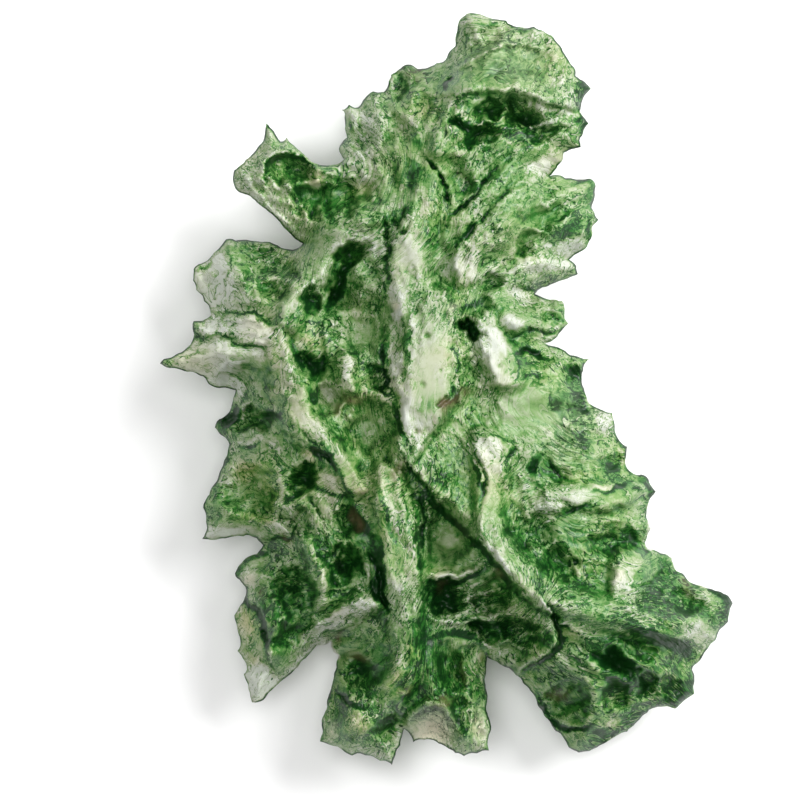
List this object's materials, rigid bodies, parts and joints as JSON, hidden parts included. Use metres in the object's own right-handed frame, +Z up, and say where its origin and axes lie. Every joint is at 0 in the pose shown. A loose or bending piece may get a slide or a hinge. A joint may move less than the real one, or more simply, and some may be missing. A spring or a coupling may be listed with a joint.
{
  "type": "moldavite",
  "caption": "Etched green natural glass stone with ragged lobes, raised ribs and scooped hollows, lying flat.",
  "frame": {"origin": "middle of the stone's footprint, on the ground it rests on", "axes": "+Y along the stone's length towards the crown, +Z up out of its broad ribbed face, +X to the right seen from above"},
  "size_m": [0.0286, 0.0376, 0.0104],
  "materials": {
    "moldavite_glass": "etched natural glass, satin in the hollows and glossy on the ribs"
  },
  "bodies": {
    "root": {"moldavite": "moldavite_glass"}
  },
  "joints": []
}
